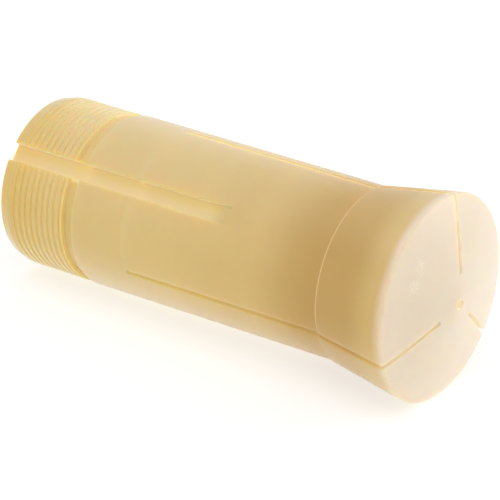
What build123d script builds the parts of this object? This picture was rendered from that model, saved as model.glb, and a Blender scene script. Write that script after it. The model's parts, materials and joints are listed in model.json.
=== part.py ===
from build123d import *
import math
import os

# Split machining collet in plastic, un-bored ("emergency" pattern), all sizes in millimetres.
# Frame: the collet's axis is +X, from the threaded tail to the head. The origin is the centre of
# the tail's end face. Angles about the axis are measured from +Y towards +Z.

# Driving dimensions: stations along the axis, from the tail's end face
THREAD_END_X = 14.2
SLEEVE_START_X = 16.5
SLOT_ROOT_X = 28.3
SEAT_X = 69.66
RIM_X = 84.8
FACE_RISE = 4.2
FACE_MID_RISE = 2.45

# Driving dimensions: radii
SLEEVE_R = 15.875
THREAD_MAJOR_R = 15.72
TAIL_RIM_R = 15.12
RELIEF_R = 14.8
HEAD_R = 18.87
SEAT_ANGLE = 10.0
RIM_FILLET = 0.5

# External thread of the tail, 20 turns to the inch
THREAD_PITCH = 1.27
THREAD_DEPTH = 0.78
THREAD_FLANK_ANGLE = 30.0
THREAD_ROOT_FLAT = 0.16
THREAD_START_ANGLE = 37.0
GROOVE_LIFT = 0.12
TAIL_CHAMFER_X = 2.2

# Keyway along the outside, cut by a wheel that runs out of the sleeve at its front end
KEY_ANGLE = 139.8
KEY_WIDTH = 3.3
KEY_FLOOR_R = 13.9
KEY_CUTTER_R = 30.0
KEY_END_X = 48.6

# Hollow inside and the solid nose
BORE_R = 11.9
BORE_END_X = 58.0
BORE_POINT_ANGLE = 59.0

# Slots that part the three jaws, and the web that is left in the middle of the nose
JAW_COUNT = 3
JAW_ANGLE = 139.0
SLOT_WIDTH = 0.78
WEB_R = 5.3
WEB_CLEARANCE = 0.28
PILOT_R = 0.7
PILOT_DEPTH = 2.0
PILOT_POINT_ANGLE = 59.0

# Gap at the root of each spring finger, which lets the rigid finger turn on its hinge
ROOT_GAP = 0.05

# Values that follow from the driving dimensions
JAW_PITCH = 360.0 / JAW_COUNT
SEAT_R = HEAD_R - (RIM_X - SEAT_X) * math.tan(math.radians(SEAT_ANGLE))
APEX_X = RIM_X + FACE_RISE
OVERSIZE = 5.0
FAR = APEX_X + OVERSIZE


def turned(outline):
    """Solid of revolution about the collet's axis. The outline holds (station, radius) points."""
    return revolve(make_face(Polyline(*outline, close=True)), Axis.X, 360)


def between(start_x, end_x, radius=HEAD_R + OVERSIZE):
    """Round slab across the axis from one station to another."""
    return turned([(start_x, 0), (start_x, radius), (end_x, radius), (end_x, 0)])


def about_axis(shape, angle):
    """Turns a shape made on the +Y side of the axis to its angle about the axis."""
    return Rotation(angle, 0, 0) * shape


def body_blank():
    """Outer form: tail at the relief groove's size, sleeve, tapered head and convex face."""
    side = Polyline(
        (0, 0),
        (0, RELIEF_R),
        (SLEEVE_START_X, RELIEF_R),
        (SLEEVE_START_X, SLEEVE_R),
        (SEAT_X, SLEEVE_R),
        (SEAT_X, SEAT_R),
        (RIM_X, HEAD_R),
    )
    face = ThreePointArc((RIM_X, HEAD_R), (RIM_X + FACE_MID_RISE, HEAD_R / 2), (APEX_X, 0))
    axis = Line((APEX_X, 0), (0, 0))
    outline = make_face([side, face, axis])
    rim = outline.vertices().sort_by(Axis.Y)[-1]
    return revolve(fillet(rim, RIM_FILLET), Axis.X, 360)


def rear_bore():
    """Blind bore from the tail, with a drill-point bottom."""
    point = BORE_R / math.tan(math.radians(BORE_POINT_ANGLE))
    return turned([(-OVERSIZE, 0), (-OVERSIZE, BORE_R), (BORE_END_X, BORE_R), (BORE_END_X + point, 0)])


def pilot_hole():
    """Small centre mark in the face, which guides the drill when the collet is bored to size."""
    point = PILOT_R / math.tan(math.radians(PILOT_POINT_ANGLE))
    floor_x = APEX_X - PILOT_DEPTH
    return turned([(floor_x - point, 0), (floor_x, PILOT_R), (FAR, PILOT_R), (FAR, 0)])


def keyway():
    """Flat-bottomed groove with a run-out that follows the cutting wheel."""
    depth = SLEEVE_R - KEY_FLOOR_R
    run_out = math.sqrt(KEY_CUTTER_R**2 - (KEY_CUTTER_R - depth) ** 2)
    centre_x = KEY_END_X - run_out
    top = KEY_FLOOR_R + KEY_CUTTER_R
    straight = Polyline(
        (centre_x, KEY_FLOOR_R),
        (-OVERSIZE, KEY_FLOOR_R),
        (-OVERSIZE, top),
        (centre_x + KEY_CUTTER_R, top),
    )
    wheel = RadiusArc((centre_x + KEY_CUTTER_R, top), (centre_x, KEY_FLOOR_R), KEY_CUTTER_R)
    groove = extrude(make_face([straight, wheel]), KEY_WIDTH / 2, both=True)
    return about_axis(groove, KEY_ANGLE)


def thread_groove():
    """Helical groove about +Z. It starts off the tail and ends beyond the thread's last turn."""
    start_z = -THREAD_PITCH
    end_z = (THREAD_END_X + SLEEVE_START_X) / 2
    slope = math.tan(math.radians(THREAD_FLANK_ANGLE))
    root = THREAD_ROOT_FLAT / 2
    mouth = root + (THREAD_DEPTH + GROOVE_LIFT) * slope
    root_r = THREAD_MAJOR_R - THREAD_DEPTH
    mouth_r = THREAD_MAJOR_R + GROOVE_LIFT
    path = Helix(THREAD_PITCH, end_z - start_z, root_r, center=(0, 0, start_z))
    section = Polyline(
        (root_r, 0, start_z - root),
        (mouth_r, 0, start_z - mouth),
        (mouth_r, 0, start_z + mouth),
        (root_r, 0, start_z + root),
        close=True,
    )
    groove = sweep(make_face(section), path, is_frenet=True)
    return Rotation(0, 0, THREAD_START_ANGLE) * groove


def threaded_ring():
    """Ring with the external thread, cut upright and then laid down along the collet's axis."""
    ring = Cylinder(THREAD_MAJOR_R, THREAD_END_X) - Cylinder(BORE_R, THREAD_END_X)
    upright = Pos(0, 0, THREAD_END_X / 2) * ring - thread_groove()
    return Rotation(0, 90, 0) * upright


def tail_chamfer():
    """Round body whose cone trims the thread's first turns, and which clears all the rest."""
    rise = (THREAD_MAJOR_R - TAIL_RIM_R) / TAIL_CHAMFER_X
    return turned(
        [
            (-OVERSIZE, 0),
            (-OVERSIZE, TAIL_RIM_R - OVERSIZE * rise),
            (THREAD_END_X, TAIL_RIM_R + THREAD_END_X * rise),
            (THREAD_END_X, 0),
        ]
    )


def slots():
    """Three radial slots from their common root to the face."""
    cuts = []
    for jaw in range(JAW_COUNT):
        length = FAR - SLOT_ROOT_X
        cut = Pos(SLOT_ROOT_X + length / 2, FAR / 2, 0) * Box(length, FAR, SLOT_WIDTH)
        cuts.append(about_axis(cut, JAW_ANGLE + JAW_PITCH * (jaw + 0.5)))
    return cuts


def jaw_sector(jaw):
    """Wedge of one jaw's share of the turn, open towards its slot centres."""
    reach = 2 * HEAD_R
    half = math.radians(JAW_PITCH / 2)
    side_y = reach * math.cos(half)
    side_z = reach * math.sin(half)
    wedge = make_face(Polyline((0, 0), (side_y, side_z), (reach, 0), (side_y, -side_z), close=True))
    return about_axis(extrude(Plane.YZ * wedge, FAR), JAW_ANGLE + JAW_PITCH * jaw)


def save(shape, node):
    export_step(shape, f"parts/{node}.step")


os.makedirs("parts", exist_ok=True)

hollow_body = body_blank() - rear_bore() - keyway()

thread = (threaded_ring() & tail_chamfer()) - rear_bore() - keyway()
threaded_tail = thread + (hollow_body & between(THREAD_END_X, SLEEVE_START_X))
bearing_sleeve = hollow_body & between(SLEEVE_START_X, SLOT_ROOT_X)
web_core = (hollow_body & between(BORE_END_X, FAR, WEB_R)) - pilot_hole()

save(threaded_tail, "threaded_tail")
save(bearing_sleeve, "bearing_sleeve")
save(web_core, "nose_web")

jaws = hollow_body - between(BORE_END_X - OVERSIZE, FAR, WEB_R + WEB_CLEARANCE) - slots()
fingers = jaws & between(SLOT_ROOT_X + ROOT_GAP, SEAT_X)
heads = jaws & between(SEAT_X, FAR)
for jaw in range(JAW_COUNT):
    save(fingers & jaw_sector(jaw), f"spring_finger_{jaw + 1}")
    save(heads & jaw_sector(jaw), f"jaw_head_{jaw + 1}")
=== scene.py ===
import json
import math

import bmesh
import bpy
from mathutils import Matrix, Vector


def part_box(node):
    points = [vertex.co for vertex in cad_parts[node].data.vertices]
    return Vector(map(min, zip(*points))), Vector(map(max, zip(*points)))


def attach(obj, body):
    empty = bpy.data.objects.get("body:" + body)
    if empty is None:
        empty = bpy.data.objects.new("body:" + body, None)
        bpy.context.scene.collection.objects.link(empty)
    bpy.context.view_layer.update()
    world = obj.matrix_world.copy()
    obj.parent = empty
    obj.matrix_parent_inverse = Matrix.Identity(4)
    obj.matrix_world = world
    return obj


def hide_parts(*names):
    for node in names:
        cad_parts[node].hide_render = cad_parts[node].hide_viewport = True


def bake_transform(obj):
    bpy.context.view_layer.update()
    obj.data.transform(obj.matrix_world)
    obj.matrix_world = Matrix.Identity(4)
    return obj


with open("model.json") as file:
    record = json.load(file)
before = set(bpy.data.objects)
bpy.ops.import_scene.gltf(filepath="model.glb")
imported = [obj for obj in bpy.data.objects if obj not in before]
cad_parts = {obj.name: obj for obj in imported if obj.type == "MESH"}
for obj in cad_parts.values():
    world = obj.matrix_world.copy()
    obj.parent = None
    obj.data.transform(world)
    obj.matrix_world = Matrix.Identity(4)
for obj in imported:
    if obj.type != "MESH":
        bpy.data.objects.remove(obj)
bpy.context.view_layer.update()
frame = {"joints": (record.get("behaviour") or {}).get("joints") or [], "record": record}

# Nylon split collet. The axis is +X from the threaded tail to the crowned face, in metres.
# Angles about the axis are measured from +Y towards +Z.
MM = 0.001

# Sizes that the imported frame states
MOUNTS = {mount["name"]: mount for mount in frame["record"]["mounts"]}
HINGES = frame["joints"]
SLEEVE_R = MOUNTS["bearing_sleeve"]["dims"]["r_mm"] * MM
BORE_R = MOUNTS["rear_bore"]["dims"]["r_mm"] * MM
BORE_END_X = MOUNTS["rear_bore"]["dims"]["length_mm"] * MM
THREAD_R = MOUNTS["tail_thread"]["dims"]["r_mm"] * MM
THREAD_END_X = MOUNTS["tail_thread"]["dims"]["length_mm"] * MM
KEY_END_X = MOUNTS["keyway"]["dims"]["length_mm"] * MM
PILOT_R = MOUNTS["pilot_hole"]["dims"]["r_mm"] * MM
SLEEVE_START_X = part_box("bearing_sleeve")[0].x
SLOT_ROOT_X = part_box("bearing_sleeve")[1].x
SEAT_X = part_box("jaw_head_1")[0].x
WEB_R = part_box("nose_web")[1].y
KEY_FLOOR_R = math.hypot(MOUNTS["keyway"]["pos_m"][1], MOUNTS["keyway"]["pos_m"][2])
KEY_ANGLE = math.atan2(MOUNTS["keyway"]["pos_m"][2], MOUNTS["keyway"]["pos_m"][1])
JAW_ANGLES = [math.atan2(hinge["pos_m"][2], hinge["pos_m"][1]) for hinge in HINGES]
JAW_HALF = math.pi / len(JAW_ANGLES)

# Outline of the head and its crowned face
RIM_X = 84.8 * MM
HEAD_R = 18.87 * MM
SEAT_TAPER = math.radians(10.0)
SEAT_R = HEAD_R - (RIM_X - SEAT_X) * math.tan(SEAT_TAPER)
FACE_RISE = 4.2 * MM
FACE_MID_RISE = 2.45 * MM
RIM_FILLET = 0.55 * MM

# Thread of the tail
THREAD_PITCH = 1.27 * MM
THREAD_DEPTH = 0.42 * MM
THREAD_FLANK = math.tan(math.radians(30.0))
THREAD_ROOT_FLAT = 0.16 * MM
THREAD_PHASE = 0.35
THREAD_LEAD_IN = 4.0 * MM
RELIEF_R = 14.8 * MM
TAIL_RIM_R = 15.12 * MM
TAIL_CHAMFER_X = 2.2 * MM

# Slots, keyway, web and pilot mark
SLOT_WIDTH = 0.78 * MM
KEY_WIDTH = 3.3 * MM
KEY_CUTTER_R = 30.0 * MM
WEB_GAP = 0.3 * MM
DRILL_POINT = math.tan(math.radians(59.0))
PILOT_DEPTH = 2.0 * MM

# Small roundings that moulded edges have
EDGE_R = 0.18 * MM
KEY_EDGE_R = 0.12 * MM
TAIL_EDGE_R = 0.25 * MM
SLEEVE_EDGE_R = 0.3 * MM
PILOT_EDGE_R = 0.45 * MM
SEAT_EDGE_SHARE = 0.4

# Mesh spacing
STEP_ALONG = 1.5 * MM
STEP_ROUND = math.radians(2.0)
TAPER_STEP = 1.0 * MM
FACE_STEP = 0.6 * MM
CORE_STEP = 2.0 * MM
KEY_FLOOR_STEP = 0.5 * MM
THREAD_STEPS = 14
FILLET_STEPS = 4
RIM_STEPS = 6
WELD = 0.002 * MM
SHARP_EDGE = math.radians(32.0)


# ---------------------------------------------------------------- outlines in (station, radius)


def spaced(start, end, step):
    """Evenly spaced values from start to end, both included, at most step apart."""
    count = max(1, math.ceil(abs(end - start) / step))
    return [start + (end - start) * i / count for i in range(count + 1)]


def face_station(radius):
    """Where the crowned face lies at this radius: the arc through its rim, middle and centre."""
    x1, x2, x3 = RIM_X, RIM_X + FACE_MID_RISE, RIM_X + FACE_RISE
    r1, r2, r3 = HEAD_R, HEAD_R / 2, 0.0
    a = math.hypot(x2 - x1, r2 - r1)
    b = math.hypot(x3 - x2, r3 - r2)
    c = math.hypot(x3 - x1, r3 - r1)
    area = abs((x2 - x1) * (r3 - r1) - (x3 - x1) * (r2 - r1)) / 2
    arc_r = a * b * c / (4 * area)
    mid_x, mid_r = (x1 + x3) / 2, (r1 + r3) / 2
    reach = math.sqrt(arc_r**2 - (c / 2) ** 2)
    centre_x = mid_x - reach * (r1 - r3) / c
    centre_r = mid_r - reach * (x3 - x1) / c
    return centre_x + math.sqrt(arc_r**2 - (radius - centre_r) ** 2)


def face_outline(start_r, end_r):
    return [(face_station(radius), radius) for radius in spaced(start_r, end_r, FACE_STEP)]


def rim_outline():
    """Rounded corner between the taper and the face."""
    slope = math.atan2(face_station(HEAD_R - MM) - face_station(HEAD_R), MM)
    turn = math.pi / 2 + SEAT_TAPER - slope
    setback = RIM_FILLET * math.tan(turn / 2)
    taper_x = RIM_X - setback * math.cos(SEAT_TAPER)
    taper_r = HEAD_R - setback * math.sin(SEAT_TAPER)
    centre_x = taper_x + RIM_FILLET * math.sin(SEAT_TAPER)
    centre_r = taper_r - RIM_FILLET * math.cos(SEAT_TAPER)
    first = math.pi / 2 + SEAT_TAPER
    angles = [first - turn * i / RIM_STEPS for i in range(RIM_STEPS + 1)]
    return [(centre_x + RIM_FILLET * math.cos(a), centre_r + RIM_FILLET * math.sin(a)) for a in angles]


def bore_bottom(radius):
    """Station of the drill-point bottom of the bore."""
    return BORE_END_X + (BORE_R - radius) / DRILL_POINT


def key_floor(x):
    """Distance of the keyway's floor from the axis. Past the straight it climbs on the wheel's arc."""
    depth = SLEEVE_R - KEY_FLOOR_R
    run_out = math.sqrt(KEY_CUTTER_R**2 - (KEY_CUTTER_R - depth) ** 2)
    beyond = x - (KEY_END_X - run_out)
    if beyond <= 0:
        return KEY_FLOOR_R
    if beyond >= KEY_CUTTER_R:
        return KEY_FLOOR_R + KEY_CUTTER_R
    return KEY_FLOOR_R + KEY_CUTTER_R - math.sqrt(KEY_CUTTER_R**2 - beyond**2)


# ---------------------------------------------------------------- columns round the axis
# A column says, for an outline point, at which radius and angle its vertex lies. Outline points
# on the outer skin can be sunk below it, which makes rounded edges and the keyway.


def plain_column(angle):
    return lambda x, r, outer: (r, angle)


def slot_edge_column(centre, side, roll):
    """Rounded edge beside a slot. roll goes from 0 on the skin to a quarter turn on the slot's wall."""
    sink = EDGE_R * (1 - math.cos(roll))
    inset = SLOT_WIDTH / 2 + EDGE_R * (1 - math.sin(roll))

    def place(x, r, outer):
        radius = r - sink if outer else r
        return radius, centre + side * (JAW_HALF - math.asin(min(1.0, inset / radius)))

    return place


def key_edge_column(side, roll):
    """Rounded upper edge of the keyway, from the skin to the keyway's wall."""
    sink = KEY_EDGE_R * (1 - math.cos(roll))
    inset = KEY_WIDTH / 2 + KEY_EDGE_R * (1 - math.sin(roll))

    def place(x, r, outer):
        if not outer:
            return r, KEY_ANGLE + side * math.asin(inset / RELIEF_R)
        radius = r - min(sink, max(0.0, r - key_floor(x)))
        return radius, KEY_ANGLE + side * math.asin(inset / radius)

    return place


def key_floor_column(across):
    """Point of the keyway's flat floor, this far from the keyway's middle plane."""

    def place(x, r, outer):
        if not outer:
            return r, KEY_ANGLE + math.asin(across / RELIEF_R)
        radius = min(r, math.hypot(key_floor(x), across))
        return radius, KEY_ANGLE + math.asin(across / radius)

    return place


def rolls():
    """Angles of a quarter turn round a small rounded edge."""
    return [math.pi / 2 * i / FILLET_STEPS for i in range(FILLET_STEPS + 1)]


def keyway_columns():
    """The keyway's two edges and its floor, which stops just short of the walls."""
    columns = [key_edge_column(-1, roll) for roll in rolls()]
    floor_half = KEY_WIDTH / 2 * 0.999
    columns += [key_floor_column(across) for across in spaced(-floor_half, floor_half, KEY_FLOOR_STEP)]
    columns += [key_edge_column(1, roll) for roll in reversed(rolls())]
    return columns


def arc_columns(start, end):
    """Plain columns strictly between two angles."""
    return [plain_column(angle) for angle in spaced(start, end, STEP_ROUND)[1:-1]]


def key_half_angle():
    return math.asin((KEY_WIDTH / 2 + KEY_EDGE_R) / RELIEF_R)


def ring_columns():
    """All the way round, with the keyway."""
    start = KEY_ANGLE + key_half_angle()
    end = KEY_ANGLE - key_half_angle() + 2 * math.pi
    return keyway_columns() + arc_columns(start, end)


def slot_half_angle():
    return math.asin((SLOT_WIDTH / 2 + EDGE_R) / BORE_R)


def sector_columns(centre, keyed):
    """From one slot to the next about a jaw's middle."""
    start = centre - JAW_HALF + slot_half_angle()
    end = centre + JAW_HALF - slot_half_angle()
    columns = [slot_edge_column(centre, -1, roll) for roll in reversed(rolls())]
    if keyed:
        columns += arc_columns(start, KEY_ANGLE - key_half_angle())
        columns += keyway_columns()
        columns += arc_columns(KEY_ANGLE + key_half_angle(), end)
    else:
        columns += arc_columns(start, end)
    columns += [slot_edge_column(centre, 1, roll) for roll in rolls()]
    return columns


# ---------------------------------------------------------------- mesh building


def revolve(name, outline, columns, closed):
    """Sweeps a closed outline of (station, radius, outer) points along the columns."""
    vertices = []
    for place in columns:
        for x, r, outer in outline:
            radius, angle = place(x, r, outer)
            vertices.append((x, radius * math.cos(angle), radius * math.sin(angle)))
    ring = len(outline)
    faces = []
    for j in range(len(columns) - (0 if closed else 1)):
        here, there = j * ring, (j + 1) % len(columns) * ring
        for i in range(ring):
            after = (i + 1) % ring
            faces.append((here + i, there + i, there + after, here + after))
    if not closed:
        faces.append(tuple(range(ring)))
        faces.append(tuple(len(vertices) - 1 - i for i in range(ring)))
    mesh = bpy.data.meshes.new(name)
    mesh.from_pydata(vertices, [], faces)
    weld(mesh)
    mesh.shade_smooth()
    mesh.set_sharp_from_angle(angle=SHARP_EDGE)
    piece = bpy.data.objects.new(name, mesh)
    bpy.context.scene.collection.objects.link(piece)
    return piece


def weld(mesh):
    """Joins points that fall together, drops what this flattens and turns all faces outward."""
    work = bmesh.new()
    work.from_mesh(mesh)
    bmesh.ops.remove_doubles(work, verts=work.verts, dist=WELD)
    bmesh.ops.dissolve_degenerate(work, edges=work.edges, dist=WELD)
    loose = [edge for edge in work.edges if not edge.link_faces]
    bmesh.ops.delete(work, geom=loose, context="EDGES")
    bmesh.ops.recalc_face_normals(work, faces=work.faces)
    if work.calc_volume(signed=True) < 0:
        bmesh.ops.reverse_faces(work, faces=work.faces)
    work.to_mesh(mesh)
    work.free()


# ---------------------------------------------------------------- pieces


def skin(points):
    """Outline points of the outer skin, which edges and the keyway may sink."""
    return [(x, r, True) for x, r in points]


def hidden(points):
    """Outline points that stay where they are."""
    return [(x, r, False) for x, r in points]


def thread_radius(x, angle):
    """Radius of the threaded skin: chamfer at the tail, then V grooves with flat crests."""
    turns = x / THREAD_PITCH - angle / (2 * math.pi) + THREAD_PHASE
    from_groove = abs(turns % 1.0 - 0.5) * THREAD_PITCH
    full_depth = THREAD_DEPTH * min(1.0, (x / THREAD_LEAD_IN) ** 2)
    depth = full_depth - max(0.0, from_groove - THREAD_ROOT_FLAT / 2) / THREAD_FLANK
    chamfer = TAIL_RIM_R + (THREAD_R - TAIL_RIM_R) * x / TAIL_CHAMFER_X
    return min(THREAD_R - max(0.0, depth), chamfer)


def threaded(place):
    """A column whose skin follows the helical thread, up to the relief groove."""

    def placed(x, r, outer):
        radius, angle = place(x, r, outer)
        if outer and 0 < x <= THREAD_END_X:
            crest = thread_radius(x, angle)
            radius, angle = place(x, crest, outer)
        return radius, angle

    return placed


def rounded_start(start_x, outer_r, edge):
    """Quarter round from the flat end at start_x to the skin at outer_r."""
    return [
        (start_x + edge * (1 - math.cos(roll)), outer_r - edge * (1 - math.sin(roll)))
        for roll in rolls()
    ]


def make_threaded_tail():
    """Threaded end with its relief groove. The thread stops a little before the groove's floor."""
    rounded = rounded_start(0.0, TAIL_RIM_R, TAIL_EDGE_R)
    thread = [(x, THREAD_R) for x in spaced(TAIL_EDGE_R, THREAD_END_X, THREAD_PITCH / THREAD_STEPS)[1:]]
    relief_stations = (THREAD_END_X + 0.1 * MM, SLEEVE_START_X - SLEEVE_EDGE_R, SLEEVE_START_X)
    relief = [(x, RELIEF_R) for x in relief_stations]
    bore = [(x, BORE_R) for x in spaced(SLEEVE_START_X, 0.0, STEP_ALONG)]
    outline = skin(rounded + thread + relief) + hidden(bore)
    columns = [threaded(place) for place in ring_columns()]
    return revolve("threaded_tail_shell", outline, columns, True)


def make_bearing_sleeve():
    """Unslotted ring between the relief groove and the slots' roots."""
    start = [(SLEEVE_START_X, RELIEF_R)] + rounded_start(SLEEVE_START_X, SLEEVE_R, SLEEVE_EDGE_R)
    along = [(x, SLEEVE_R) for x in spaced(SLEEVE_START_X + SLEEVE_EDGE_R, SLOT_ROOT_X, STEP_ALONG)[1:]]
    bore = [(x, BORE_R) for x in spaced(SLOT_ROOT_X, SLEEVE_START_X, STEP_ALONG)]
    return revolve("bearing_sleeve_shell", skin(start + along) + hidden(bore), ring_columns(), True)


def make_spring_finger(number, centre, keyed):
    """Slotted wall of the body, which bends, with the wall that closes the bore in front."""
    along = [(x, SLEEVE_R) for x in spaced(SLOT_ROOT_X, SEAT_X, STEP_ALONG)]
    inner_r = WEB_R + WEB_GAP
    bottom = [(SEAT_X, inner_r), (bore_bottom(inner_r), inner_r), (BORE_END_X, BORE_R)]
    bore = [(x, BORE_R) for x in spaced(BORE_END_X, SLOT_ROOT_X, STEP_ALONG)[1:]]
    outline = skin(along) + hidden(bottom + bore)
    return revolve(f"spring_finger_{number}_shell", outline, sector_columns(centre, keyed), False)


def make_jaw_head(number, centre):
    """Tapered sector of the head, from the small step at the seat to the crowned face."""
    rim = rim_outline()
    end_x, end_r = rim[0]
    edge = (SEAT_R - SLEEVE_R) * SEAT_EDGE_SHARE
    start_x = SEAT_X + edge
    seat = [(SEAT_X, SLEEVE_R - MM), (SEAT_X, SEAT_R - edge), (start_x, SEAT_R)]
    slope = (end_r - SEAT_R) / (end_x - SEAT_X - edge)
    taper = [(x, SEAT_R + (x - start_x) * slope) for x in spaced(start_x, end_x, TAPER_STEP)[1:-1]]
    face = face_outline(rim[-1][1], WEB_R)[1:]
    core = [(x, WEB_R) for x in spaced(face[-1][0], SEAT_X, CORE_STEP)[1:]]
    outline = skin(seat + taper + rim + face) + hidden(core)
    return revolve(f"jaw_head_{number}_shell", outline, sector_columns(centre, False), False)


def make_nose_web():
    """The uncut middle of the nose, with the pilot mark in its face."""
    back = [(bore_bottom(0.0), 0.0), (bore_bottom(WEB_R), WEB_R)]
    side = [(x, WEB_R) for x in spaced(bore_bottom(WEB_R), face_station(WEB_R), CORE_STEP)[1:-1]]
    face = face_outline(WEB_R, PILOT_R + PILOT_EDGE_R)
    lip_x = face_station(PILOT_R)
    lip = [
        (lip_x - PILOT_EDGE_R * (1 - math.cos(roll)), PILOT_R + PILOT_EDGE_R * (1 - math.sin(roll)))
        for roll in rolls()[1:]
    ]
    floor_x = lip_x - PILOT_DEPTH
    pilot = lip + [(floor_x, PILOT_R), (floor_x - PILOT_R / DRILL_POINT, 0.0)]
    columns = [plain_column(angle) for angle in spaced(0, 2 * math.pi, STEP_ROUND)[:-1]]
    return revolve("nose_web_shell", hidden(back + side + face + pilot), columns, True)


# ---------------------------------------------------------------- material

# Nylon's own colour, with light and shade painted in along the axis: the hollow body painted brighter
# for the light its thin walls pass, the solid nose painted darker, the rim and the lit face painted
# pale. Linear colours at stations along the axis.
TONES_WITH_PAINTED_LIGHT = [
    (0.0, (0.77, 0.56, 0.18)),
    (12.0, (0.785, 0.60, 0.27)),
    (15.0, (0.80, 0.61, 0.24)),
    (17.5, (0.79, 0.605, 0.27)),
    (34.0, (0.785, 0.60, 0.265)),
    (54.0, (0.755, 0.555, 0.23)),
    (68.0, (0.605, 0.39, 0.12)),
    (76.0, (0.605, 0.39, 0.12)),
    (82.5, (0.71, 0.51, 0.193)),
    (84.6, (0.79, 0.665, 0.48)),
    (85.2, (0.78, 0.67, 0.52)),
    (86.5, (0.76, 0.65, 0.495)),
]

# Colours that multiply the nylon's tone, and colours that it is blended to: painted shade in recesses,
# on the lower side and in the keyway, painted light on the upper side, a painted highlight on the
# seat's edge, scuffs, and a painted sheen
# Painted shade in recesses where little light reaches, lighter near the face and on top
RECESS_SHADE = (0.94, 0.97, 0.90, 1)
RECESS_SHADE_FACE = (0.99, 0.99, 0.96, 1)
# Painted light: the upper side of the body and of the head made paler
PAINTED_TOP_LIGHT = (1.035, 1.055, 1.15, 1)
PAINTED_TOP_LIGHT_HEAD = (1.09, 1.14, 1.33, 1)
# Painted shade: the lower side made warmer and darker
PAINTED_LOWER_SHADE = (0.955, 0.94, 0.84, 1)
KEY_SHADE = (1.0, 0.97, 0.54, 1)
LIP_SHADE = (0.88, 0.93, 0.90, 1)
# Painted highlight on the seat's edge
SEAT_HIGHLIGHT_TONE = (0.88, 0.70, 0.42, 1)
SCUFF_TONE = (0.95, 0.88, 0.74, 1)
# Painted sheen where the surface is seen at a low angle
GRAZING_SHEEN_TONE = (0.93, 0.83, 0.70, 1)

# Painted glow, given off by the nylon itself, that stands in for the light passing through it and
# showing in hollow places and in the keyway's thin wall
HOLLOW_LIGHT = (0.48, 0.50, 0.29, 1)
HOLLOW_LIGHT_FACE = (0.55, 0.54, 0.41, 1)
HOLLOW_REACH = 2.5 * MM
HOLLOW_GLOW = 0.36
PILOT_GLOW = 1.4
THIN_WALL_GLOW = 0.17
KEY_GLOW_AT_WALL = 0.8
KEY_GLOW_ON_FLOOR = 1.25

# Scatter inside the nylon, which fades out at the joints between closed pieces
IOR = 1.53
SCATTER_REACH = 2.2 * MM
SCATTER_COLOUR = (1.0, 0.55, 0.22)
SEAM_FADE = (0.1 * MM, 1.0 * MM)

# Pairs of values between which an effect comes in, in the order from none to full
HOLLOW_SKY = (0.65, 0.2)
FACE_LIGHT_STATIONS = (80.0 * MM, 86.0 * MM)
HEAD_STATIONS = (54.0 * MM, 66.0 * MM)
SIDE_STATIONS = (84.9 * MM, 84.2 * MM)
TOP_HEIGHTS = (12.0 * MM, 15.0 * MM)
UPPER_HEIGHTS = (10.0 * MM, 15.5 * MM)
LOWER_HEIGHTS = (9.0 * MM, 1.0 * MM)
BOTTOM_HEIGHTS = (-13.0 * MM, -9.0 * MM)
GRAZING = (0.3, 1.0)
IN_KEY_RADII = (SLEEVE_R - 0.1 * MM, SLEEVE_R - 1.6 * MM)
LIP_RADII = (SLEEVE_R - 0.35 * MM, SLEEVE_R - 0.1 * MM)
LIP_REACH = (0.35 * MM, 0.1 * MM)
PILOT_RADII = (1.25 * PILOT_R, 1.02 * PILOT_R)

# How much of the painted sheen shows: by station, by height, and at least this much in the top slot, as
# painted light there
GRAZING_AT_TAIL = 0.95
GRAZING_AT_RIM = 0.45
GRAZING_AT_TOP = 0.5
GRAZING_TOP_SLOT = 0.9

# Painted highlight: a pale line on the seat's edge, as angles from the keyway
SEAT_HIGHLIGHT_WIDTH = 0.25 * MM
SEAT_HIGHLIGHT_STRENGTH = 0.6
SEAT_HIGHLIGHT_FULL = math.radians(38.0)
SEAT_HIGHLIGHT_END = math.radians(60.0)

# Two scuffed patches on the face, as (distance from the axis, angle about it)
SCUFF_R = 1.7 * MM
SCUFFS = [(13.3 * MM, math.radians(132.0)), (12.9 * MM, math.radians(147.0))]
SCUFF_SPECKLES = 2600.0
SCUFF_STRENGTH = 0.5

# Fine structure, as spatial frequencies in 1/m, and the relief that it makes
MOTTLE_SCALE = 110.0
POLISH_SCALE = 90.0
GRAIN_SCALE = 1500.0
GRAIN_SHARE = 0.4
TURNING_PITCH = 0.35 * MM
TURNING_STRETCH = 0.2 * MM
RELIEF_STRENGTH = 0.12
RELIEF_HEIGHT = 0.06 * MM
NOISE_MIDDLE = (0.3, 0.7)
MOTTLE_LEVELS = (0.985, 1.01)
ROUGHNESS_LEVELS = (0.34, 0.48)


def add_node(tree, kind, inputs=None, **settings):
    """New shader node. Each input is given by name or number, as a value or another node's output."""
    made = tree.nodes.new("ShaderNode" + kind)
    for name, value in settings.items():
        setattr(made, name, value)
    for name, value in (inputs or {}).items():
        if isinstance(value, bpy.types.NodeSocket):
            tree.links.new(value, made.inputs[name])
        else:
            made.inputs[name].default_value = value
    return made


def compute(tree, operation, *values):
    return add_node(tree, "Math", dict(enumerate(values)), operation=operation).outputs[0]


def multiply(tree, *values):
    product = values[0]
    for value in values[1:]:
        product = compute(tree, "MULTIPLY", product, value)
    return product


def distance(tree, value, from_value):
    return compute(tree, "ABSOLUTE", compute(tree, "SUBTRACT", value, from_value))


def project(tree, place, direction):
    """How far the point lies from the origin along a direction."""
    product = add_node(tree, "VectorMath", {0: place, 1: direction}, operation="DOT_PRODUCT")
    return product.outputs["Value"]


def blend_colours(tree, factor, first, second, blend_type="MIX"):
    """Sockets 6 and 7 of a colour mix are its two colours, and output 2 is the result."""
    inputs = {0: factor, 6: first, 7: second}
    return add_node(tree, "Mix", inputs, data_type="RGBA", blend_type=blend_type).outputs[2]


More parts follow.
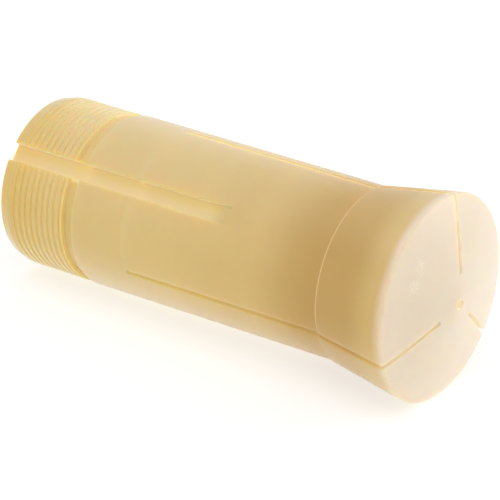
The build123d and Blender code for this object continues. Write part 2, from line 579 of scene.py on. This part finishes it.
def remap(tree, value, start, end, low=0.0, high=1.0):
    """Smoothly from low at start to high at end, whichever of the two is larger."""
    inputs = {"Value": value, "From Min": start, "From Max": end, "To Min": low, "To Max": high}
    return add_node(tree, "MapRange", inputs, interpolation_type="SMOOTHSTEP").outputs[0]


def noise(tree, vector, scale, detail=3.0, roughness=0.5):
    inputs = {"Vector": vector, "Scale": scale, "Detail": detail, "Roughness": roughness}
    return add_node(tree, "TexNoise", inputs).outputs["Fac"]


def axis_coordinates(tree):
    """Place of the shaded point, its station, its height, its distance from the axis and its angle."""
    place = add_node(tree, "TexCoord").outputs["Object"]
    station, side, height = add_node(tree, "SeparateXYZ", {0: place}).outputs
    square = compute(tree, "ADD", multiply(tree, side, side), multiply(tree, height, height))
    return place, station, height, compute(tree, "SQRT", square), compute(tree, "ARCTAN2", height, side)


def tone_with_painted_light_along(tree, station):
    """Colour of the nylon by station along the axis, with light and shade painted in."""
    length = TONES_WITH_PAINTED_LIGHT[-1][0] * MM
    ramp = add_node(tree, "ValToRGB", {0: compute(tree, "DIVIDE", station, length)})
    stops = ramp.color_ramp.elements
    ramp.color_ramp.interpolation = "EASE"
    while len(stops) < len(TONES_WITH_PAINTED_LIGHT):
        stops.new(0.5)
    for stop, (x, colour) in zip(stops, TONES_WITH_PAINTED_LIGHT):
        stop.position = x * MM / length
        stop.color = (*colour, 1)
    return ramp.outputs[0]


def seam_fade(tree, station, radius):
    """One away from where closed pieces meet flush, falling to nothing on the joint."""
    ring = compute(
        tree, "MINIMUM", distance(tree, station, SLOT_ROOT_X), distance(tree, station, SLEEVE_START_X)
    )
    on_body = compute(tree, "LESS_THAN", station, RIM_X)
    around_web = compute(tree, "MAXIMUM", distance(tree, radius, WEB_R), on_body)
    return remap(tree, compute(tree, "MINIMUM", ring, around_web), *SEAM_FADE)


def facing_key(tree, place, radius):
    """Cosine of the angle between the point and the keyway, about the axis."""
    outward = (0, math.cos(KEY_ANGLE), math.sin(KEY_ANGLE))
    return compute(tree, "DIVIDE", project(tree, place, outward), radius)


def in_keyway(tree, place, station, radius):
    """Inside the keyway, the place across it from its upper wall to its lower, and on its upper lip."""
    side = project(tree, place, (0, -math.sin(KEY_ANGLE), math.cos(KEY_ANGLE)))
    nearly_over = math.cos(1.2 * key_half_angle())
    over = compute(tree, "GREATER_THAN", facing_key(tree, place, radius), nearly_over)
    before_end = compute(tree, "LESS_THAN", station, KEY_END_X)
    over = multiply(tree, over, before_end)
    above_bore = compute(tree, "GREATER_THAN", radius, (BORE_R + KEY_FLOOR_R) / 2)
    inside = multiply(tree, over, remap(tree, radius, *IN_KEY_RADII), above_bore)
    near_lip = remap(tree, distance(tree, side, -KEY_WIDTH / 2), *LIP_REACH)
    lip = multiply(tree, over, remap(tree, radius, *LIP_RADII), near_lip)
    return inside, remap(tree, side, -KEY_WIDTH / 2, KEY_WIDTH / 2), lip


def paint_seat_highlight(tree, place, station, radius):
    """Painted highlight: a pale line on the edge where the taper starts, on the keyed jaw."""
    away = distance(tree, station, SEAT_X + SEAT_HIGHLIGHT_WIDTH / 2)
    line = remap(tree, away, 0.0, SEAT_HIGHLIGHT_WIDTH, SEAT_HIGHLIGHT_STRENGTH, 0.0)
    highlighted_side = remap(tree, facing_key(tree, place, radius), math.cos(SEAT_HIGHLIGHT_END), math.cos(SEAT_HIGHLIGHT_FULL))
    return multiply(tree, line, highlighted_side)


def scuffing(tree, place):
    """Two faint scuffed patches on the face."""
    patches = 0.0
    for reach, angle in SCUFFS:
        centre = (face_station(reach), reach * math.cos(angle), reach * math.sin(angle))
        away = add_node(tree, "VectorMath", {0: place, 1: centre}, operation="DISTANCE")
        patch = remap(tree, away.outputs["Value"], SCUFF_R, SCUFF_R / 3)
        patches = compute(tree, "ADD", patch, patches)
    speckle = noise(tree, place, SCUFF_SPECKLES, 2.0)
    return multiply(tree, patches, remap(tree, speckle, 0.4, 0.65, 0.0, SCUFF_STRENGTH))


def mottled_tone_with_painted_light(tree, place, station, height):
    """Tone along the axis, faintly mottled, with painted light making the upper side paler and painted
    shade making the lower one warmer.
    """
    mottle = remap(tree, noise(tree, place, MOTTLE_SCALE), *NOISE_MIDDLE, *MOTTLE_LEVELS)
    colour = blend_colours(tree, 1.0, tone_with_painted_light_along(tree, station), mottle, "MULTIPLY")
    on_side = remap(tree, station, *SIDE_STATIONS)
    upper = multiply(tree, remap(tree, height, *UPPER_HEIGHTS), on_side)
    above_bottom = remap(tree, height, *BOTTOM_HEIGHTS)
    lower = multiply(tree, remap(tree, height, *LOWER_HEIGHTS), above_bottom, on_side)
    # Painted light on the upper side
    top_light_tint = blend_colours(tree, remap(tree, station, *HEAD_STATIONS), PAINTED_TOP_LIGHT, PAINTED_TOP_LIGHT_HEAD)
    colour = blend_colours(tree, upper, colour, top_light_tint, "MULTIPLY")
    # Painted shade on the lower side
    return blend_colours(tree, lower, colour, PAINTED_LOWER_SHADE, "MULTIPLY")


def painted_sheen_share(tree, station, height, top_slot):
    """How much of the painted sheen, a pale tone, shows where the surface is seen at a low angle, and
    how much painted light shows in the top slot.
    """
    edge_on = add_node(tree, "LayerWeight", {"Blend": 0.5}).outputs["Facing"]
    along = remap(tree, station, 0.0, RIM_X, GRAZING_AT_TAIL, GRAZING_AT_RIM)
    upwards = remap(tree, height, -HEAD_R, HEAD_R, 1.0, GRAZING_AT_TOP)
    share = multiply(tree, remap(tree, edge_on, *GRAZING), along, upwards)
    return compute(tree, "MAXIMUM", share, multiply(tree, top_slot, GRAZING_TOP_SLOT))


def surface_relief(tree, place, station, radius, angle):
    """Turning marks that run round the axis, and a fine grain."""
    along_marks = {0: station, 1: radius, 2: multiply(tree, angle, TURNING_STRETCH)}
    turned = add_node(tree, "CombineXYZ", along_marks).outputs[0]
    marks = noise(tree, turned, 1 / TURNING_PITCH, 2.0)
    grain = multiply(tree, noise(tree, place, GRAIN_SCALE, 2.0), GRAIN_SHARE)
    relief = {"Height": compute(tree, "ADD", marks, grain), "Strength": RELIEF_STRENGTH}
    return add_node(tree, "Bump", {**relief, "Distance": RELIEF_HEIGHT}).outputs[0]


def nylon():
    """Natural nylon. Its colour with painted light and shade, the painted glow for the light it passes,
    and its relief follow the place on the collet.
    """
    material = bpy.data.materials.new("natural_nylon_painted_light")
    material.use_nodes = True
    tree = material.node_tree
    shader = tree.nodes["Principled BSDF"]
    place, station, height, radius, angle = axis_coordinates(tree)
    in_key, across_key, key_lip = in_keyway(tree, place, station, radius)

    sky = add_node(tree, "AmbientOcclusion", {"Distance": HOLLOW_REACH}).outputs["AO"]
    deep = multiply(tree, remap(tree, sky, *HOLLOW_SKY), compute(tree, "SUBTRACT", 1.0, in_key))
    on_top = remap(tree, height, *TOP_HEIGHTS)
    pale_hollow = compute(tree, "MAXIMUM", remap(tree, station, *FACE_LIGHT_STATIONS), on_top)
    recess_shade_colour = blend_colours(tree, pale_hollow, RECESS_SHADE, RECESS_SHADE_FACE)
    key_shade = multiply(tree, in_key, remap(tree, across_key, 0.8, 0.0))
    seat_highlight = paint_seat_highlight(tree, place, station, radius)
    painted_sheen = painted_sheen_share(tree, station, height, multiply(tree, deep, on_top))

    colour = mottled_tone_with_painted_light(tree, place, station, height)
    # Painted shade in recesses, where the ambient occlusion is low, except in the keyway
    colour = blend_colours(tree, deep, colour, recess_shade_colour, "MULTIPLY")
    colour = blend_colours(tree, key_shade, colour, KEY_SHADE, "MULTIPLY")
    colour = blend_colours(tree, key_lip, colour, LIP_SHADE, "MULTIPLY")
    # Painted highlight on the seat's edge
    colour = blend_colours(tree, seat_highlight, colour, SEAT_HIGHLIGHT_TONE)
    colour = blend_colours(tree, scuffing(tree, place), colour, SCUFF_TONE)
    # Painted sheen at low angles and painted light in the top slot
    colour = blend_colours(tree, painted_sheen, colour, GRAZING_SHEEN_TONE)
    tree.links.new(colour, shader.inputs["Base Color"])

    # Painted glow in hollows, stronger at the pilot mark, and in the keyway's thin wall
    pale_light = compute(tree, "MAXIMUM", pale_hollow, in_key)
    light = blend_colours(tree, pale_light, HOLLOW_LIGHT, HOLLOW_LIGHT_FACE)
    tree.links.new(light, shader.inputs["Emission Color"])
    hollow_glow = remap(tree, radius, *PILOT_RADII, HOLLOW_GLOW, HOLLOW_GLOW * PILOT_GLOW)
    key_glow = remap(tree, across_key, 0.0, 0.02, KEY_GLOW_AT_WALL, KEY_GLOW_ON_FLOOR)
    glow = compute(
        tree,
        "ADD",
        multiply(tree, remap(tree, sky, 1.0, 0.0), hollow_glow),
        multiply(tree, in_key, key_glow, THIN_WALL_GLOW),
    )
    tree.links.new(glow, shader.inputs["Emission Strength"])

    polish = noise(tree, place, POLISH_SCALE)
    tree.links.new(remap(tree, polish, *NOISE_MIDDLE, *ROUGHNESS_LEVELS), shader.inputs["Roughness"])
    tree.links.new(surface_relief(tree, place, station, radius, angle), shader.inputs["Normal"])
    tree.links.new(seam_fade(tree, station, radius), shader.inputs["Subsurface Weight"])
    shader.inputs["Subsurface Radius"].default_value = SCATTER_COLOUR
    shader.inputs["Subsurface Scale"].default_value = SCATTER_REACH
    shader.inputs["IOR"].default_value = IOR
    return material


def place_pieces():
    """Makes the nine pieces, ties the tail, the sleeve and the web to the sleeve's body, hides the CAD
    part that each piece stands for, and gives them the nylon.
    """
    pieces = {
        "threaded_tail": make_threaded_tail(),
        "bearing_sleeve": make_bearing_sleeve(),
        "nose_web": make_nose_web(),
    }
    for piece in pieces.values():
        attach(piece, "sleeve")
    for index, angle in enumerate(JAW_ANGLES):
        number = index + 1
        finger = make_spring_finger(number, angle, keyed=index == 0)
        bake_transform(finger)
        pieces[f"spring_finger_{number}"] = finger
        head = make_jaw_head(number, angle)
        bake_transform(head)
        pieces[f"jaw_head_{number}"] = head
    finish = nylon()
    for node, piece in pieces.items():
        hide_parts(node)
        piece.data.materials.clear()
        piece.data.materials.append(finish)


# ---------------------------------------------------------------- studio

CAMERA_PLACE = Vector((0.3966, -0.4901, 0.2894))
CAMERA_AZIMUTH = math.radians(35.69)
CAMERA_ELEVATION = math.radians(25.68)
CAMERA_LENS = 271.8
CAMERA_SHIFT = (-0.0007, -0.0139)
CAMERA_REACH = 10.0

# Strength of the white surroundings at the horizon and overhead
WORLD_LIGHT = 0.70
WORLD_LIGHT_ABOVE = 0.71

# The floor's colour and glow, for the light in the scene and for the camera
FLOOR_WHITE = 0.85
FLOOR_SEEN = 0.5
FLOOR_GLOW = 0.24
FLOOR_GLOW_SEEN = 0.62
FLOOR_HALF = 3.0
FLOOR_ROUGHNESS = 0.9

# Soft round lights that face the middle of the collet, as (name, place, diameter, power)
LIGHT_TARGET = Vector((0.05, 0, 0))
LIGHTS = [
    ("key", Vector((0.6, 0.6, 0.2)), 0.5, 2.5),
    ("top", Vector((0.05, -0.3, 0.75)), 0.6, 1.2),
]


def add_camera():
    data = bpy.data.cameras.new("camera")
    data.lens = CAMERA_LENS
    data.shift_x, data.shift_y = CAMERA_SHIFT
    data.clip_end = CAMERA_REACH
    camera = bpy.data.objects.new("camera", data)
    camera.location = CAMERA_PLACE
    camera.rotation_euler = (math.pi / 2 - CAMERA_ELEVATION, 0, CAMERA_AZIMUTH)
    bpy.context.scene.collection.objects.link(camera)
    bpy.context.scene.camera = camera


def add_area_light(name, place, diameter, power):
    data = bpy.data.lights.new(name, "AREA")
    data.shape = "DISK"
    data.size = diameter
    data.energy = power
    light = bpy.data.objects.new(name, data)
    light.location = place
    light.rotation_euler = (LIGHT_TARGET - place).to_track_quat("-Z", "Y").to_euler()
    bpy.context.scene.collection.objects.link(light)


def add_world():
    """Nearly even white light from all round. The camera sees plain white."""
    world = bpy.data.worlds.new("studio")
    world.use_nodes = True
    tree = world.node_tree
    background = tree.nodes["Background"]
    seen = add_node(tree, "LightPath").outputs["Is Camera Ray"]
    direction = add_node(tree, "TexCoord").outputs["Generated"]
    upwards = add_node(tree, "SeparateXYZ", {0: direction}).outputs[2]
    strength = remap(tree, upwards, 0.0, 1.0, WORLD_LIGHT, WORLD_LIGHT_ABOVE)
    background.inputs["Color"].default_value = (1, 1, 1, 1)
    tree.links.new(compute(tree, "MAXIMUM", strength, seen), background.inputs["Strength"])
    bpy.context.scene.world = world


def floor_finish():
    """Matt white. The camera sees more of its glow and less of its shade, so the shadow is faint."""
    material = bpy.data.materials.new("pale_floor")
    material.use_nodes = True
    tree = material.node_tree
    shader = tree.nodes["Principled BSDF"]
    seen = add_node(tree, "LightPath").outputs["Is Camera Ray"]
    white = remap(tree, seen, 0.0, 1.0, FLOOR_WHITE, FLOOR_SEEN)
    glow = remap(tree, seen, 0.0, 1.0, FLOOR_GLOW, FLOOR_GLOW_SEEN)
    tree.links.new(white, shader.inputs["Base Color"])
    tree.links.new(glow, shader.inputs["Emission Strength"])
    shader.inputs["Emission Color"].default_value = (1, 1, 1, 1)
    shader.inputs["Roughness"].default_value = FLOOR_ROUGHNESS
    return material


def add_floor():
    """Pale floor that the tail and the head both rest on."""
    half = FLOOR_HALF
    mesh = bpy.data.meshes.new("floor")
    corners = [(-half, -half, 0), (half, -half, 0), (half, half, 0), (-half, half, 0)]
    mesh.from_pydata(corners, [], [(0, 1, 2, 3)])
    mesh.materials.append(floor_finish())
    floor = bpy.data.objects.new("floor", mesh)
    floor.rotation_euler = (0, math.atan2(HEAD_R - THREAD_R, RIM_X - TAIL_CHAMFER_X), 0)
    floor.location = (RIM_X, 0, -HEAD_R)
    bpy.context.scene.collection.objects.link(floor)


place_pieces()
add_camera()
add_world()
add_floor()
for light_settings in LIGHTS:
    add_area_light(*light_settings)
bpy.context.scene.view_settings.view_transform = "Standard"
